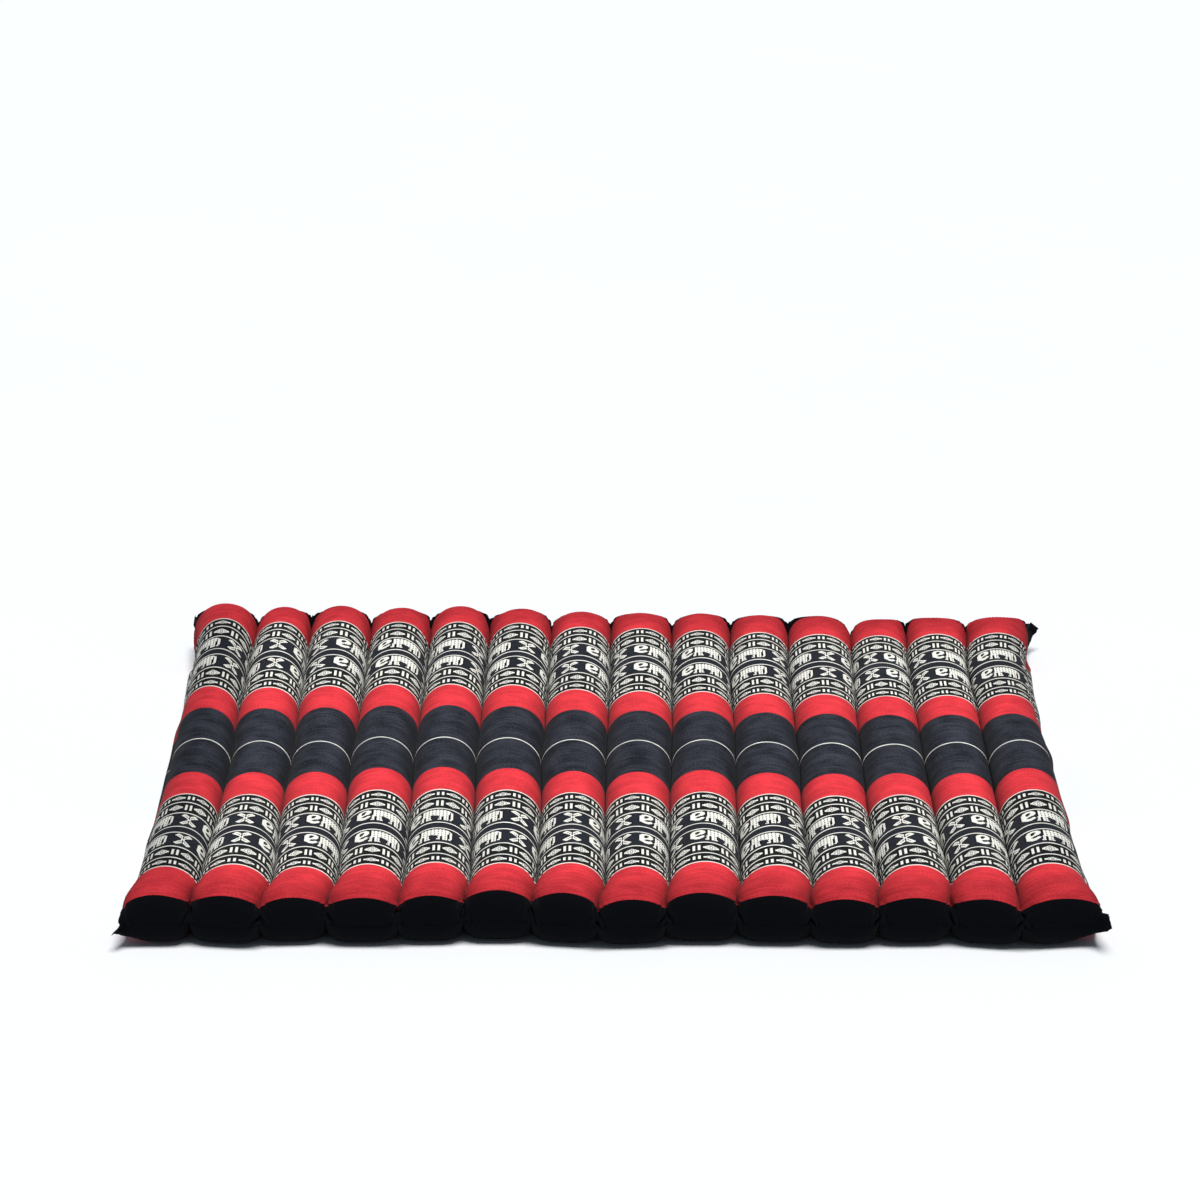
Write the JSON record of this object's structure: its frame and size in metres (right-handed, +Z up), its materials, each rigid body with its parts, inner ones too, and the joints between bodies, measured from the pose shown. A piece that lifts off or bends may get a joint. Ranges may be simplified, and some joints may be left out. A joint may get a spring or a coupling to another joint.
{
  "type": "channel-stitched zabuton floor cushion",
  "caption": "Flat filled floor cushion of parallel stuffed tubes sewn side by side, in red and black cotton with woven elephant bands.",
  "frame": {"origin": "middle of the footprint, on the surface that the cushion lies on", "axes": "+X across the tubes, +Y along the tubes from the front end to the back end, +Z up through the thickness"},
  "size_m": [0.7684, 0.701, 0.0553],
  "materials": {
    "cotton": "matt woven cotton in red and charcoal black stripes, with cream woven bands of elephants and stars"
  },
  "bodies": {
    "root": {"cushion": "cotton"}
  },
  "joints": []
}
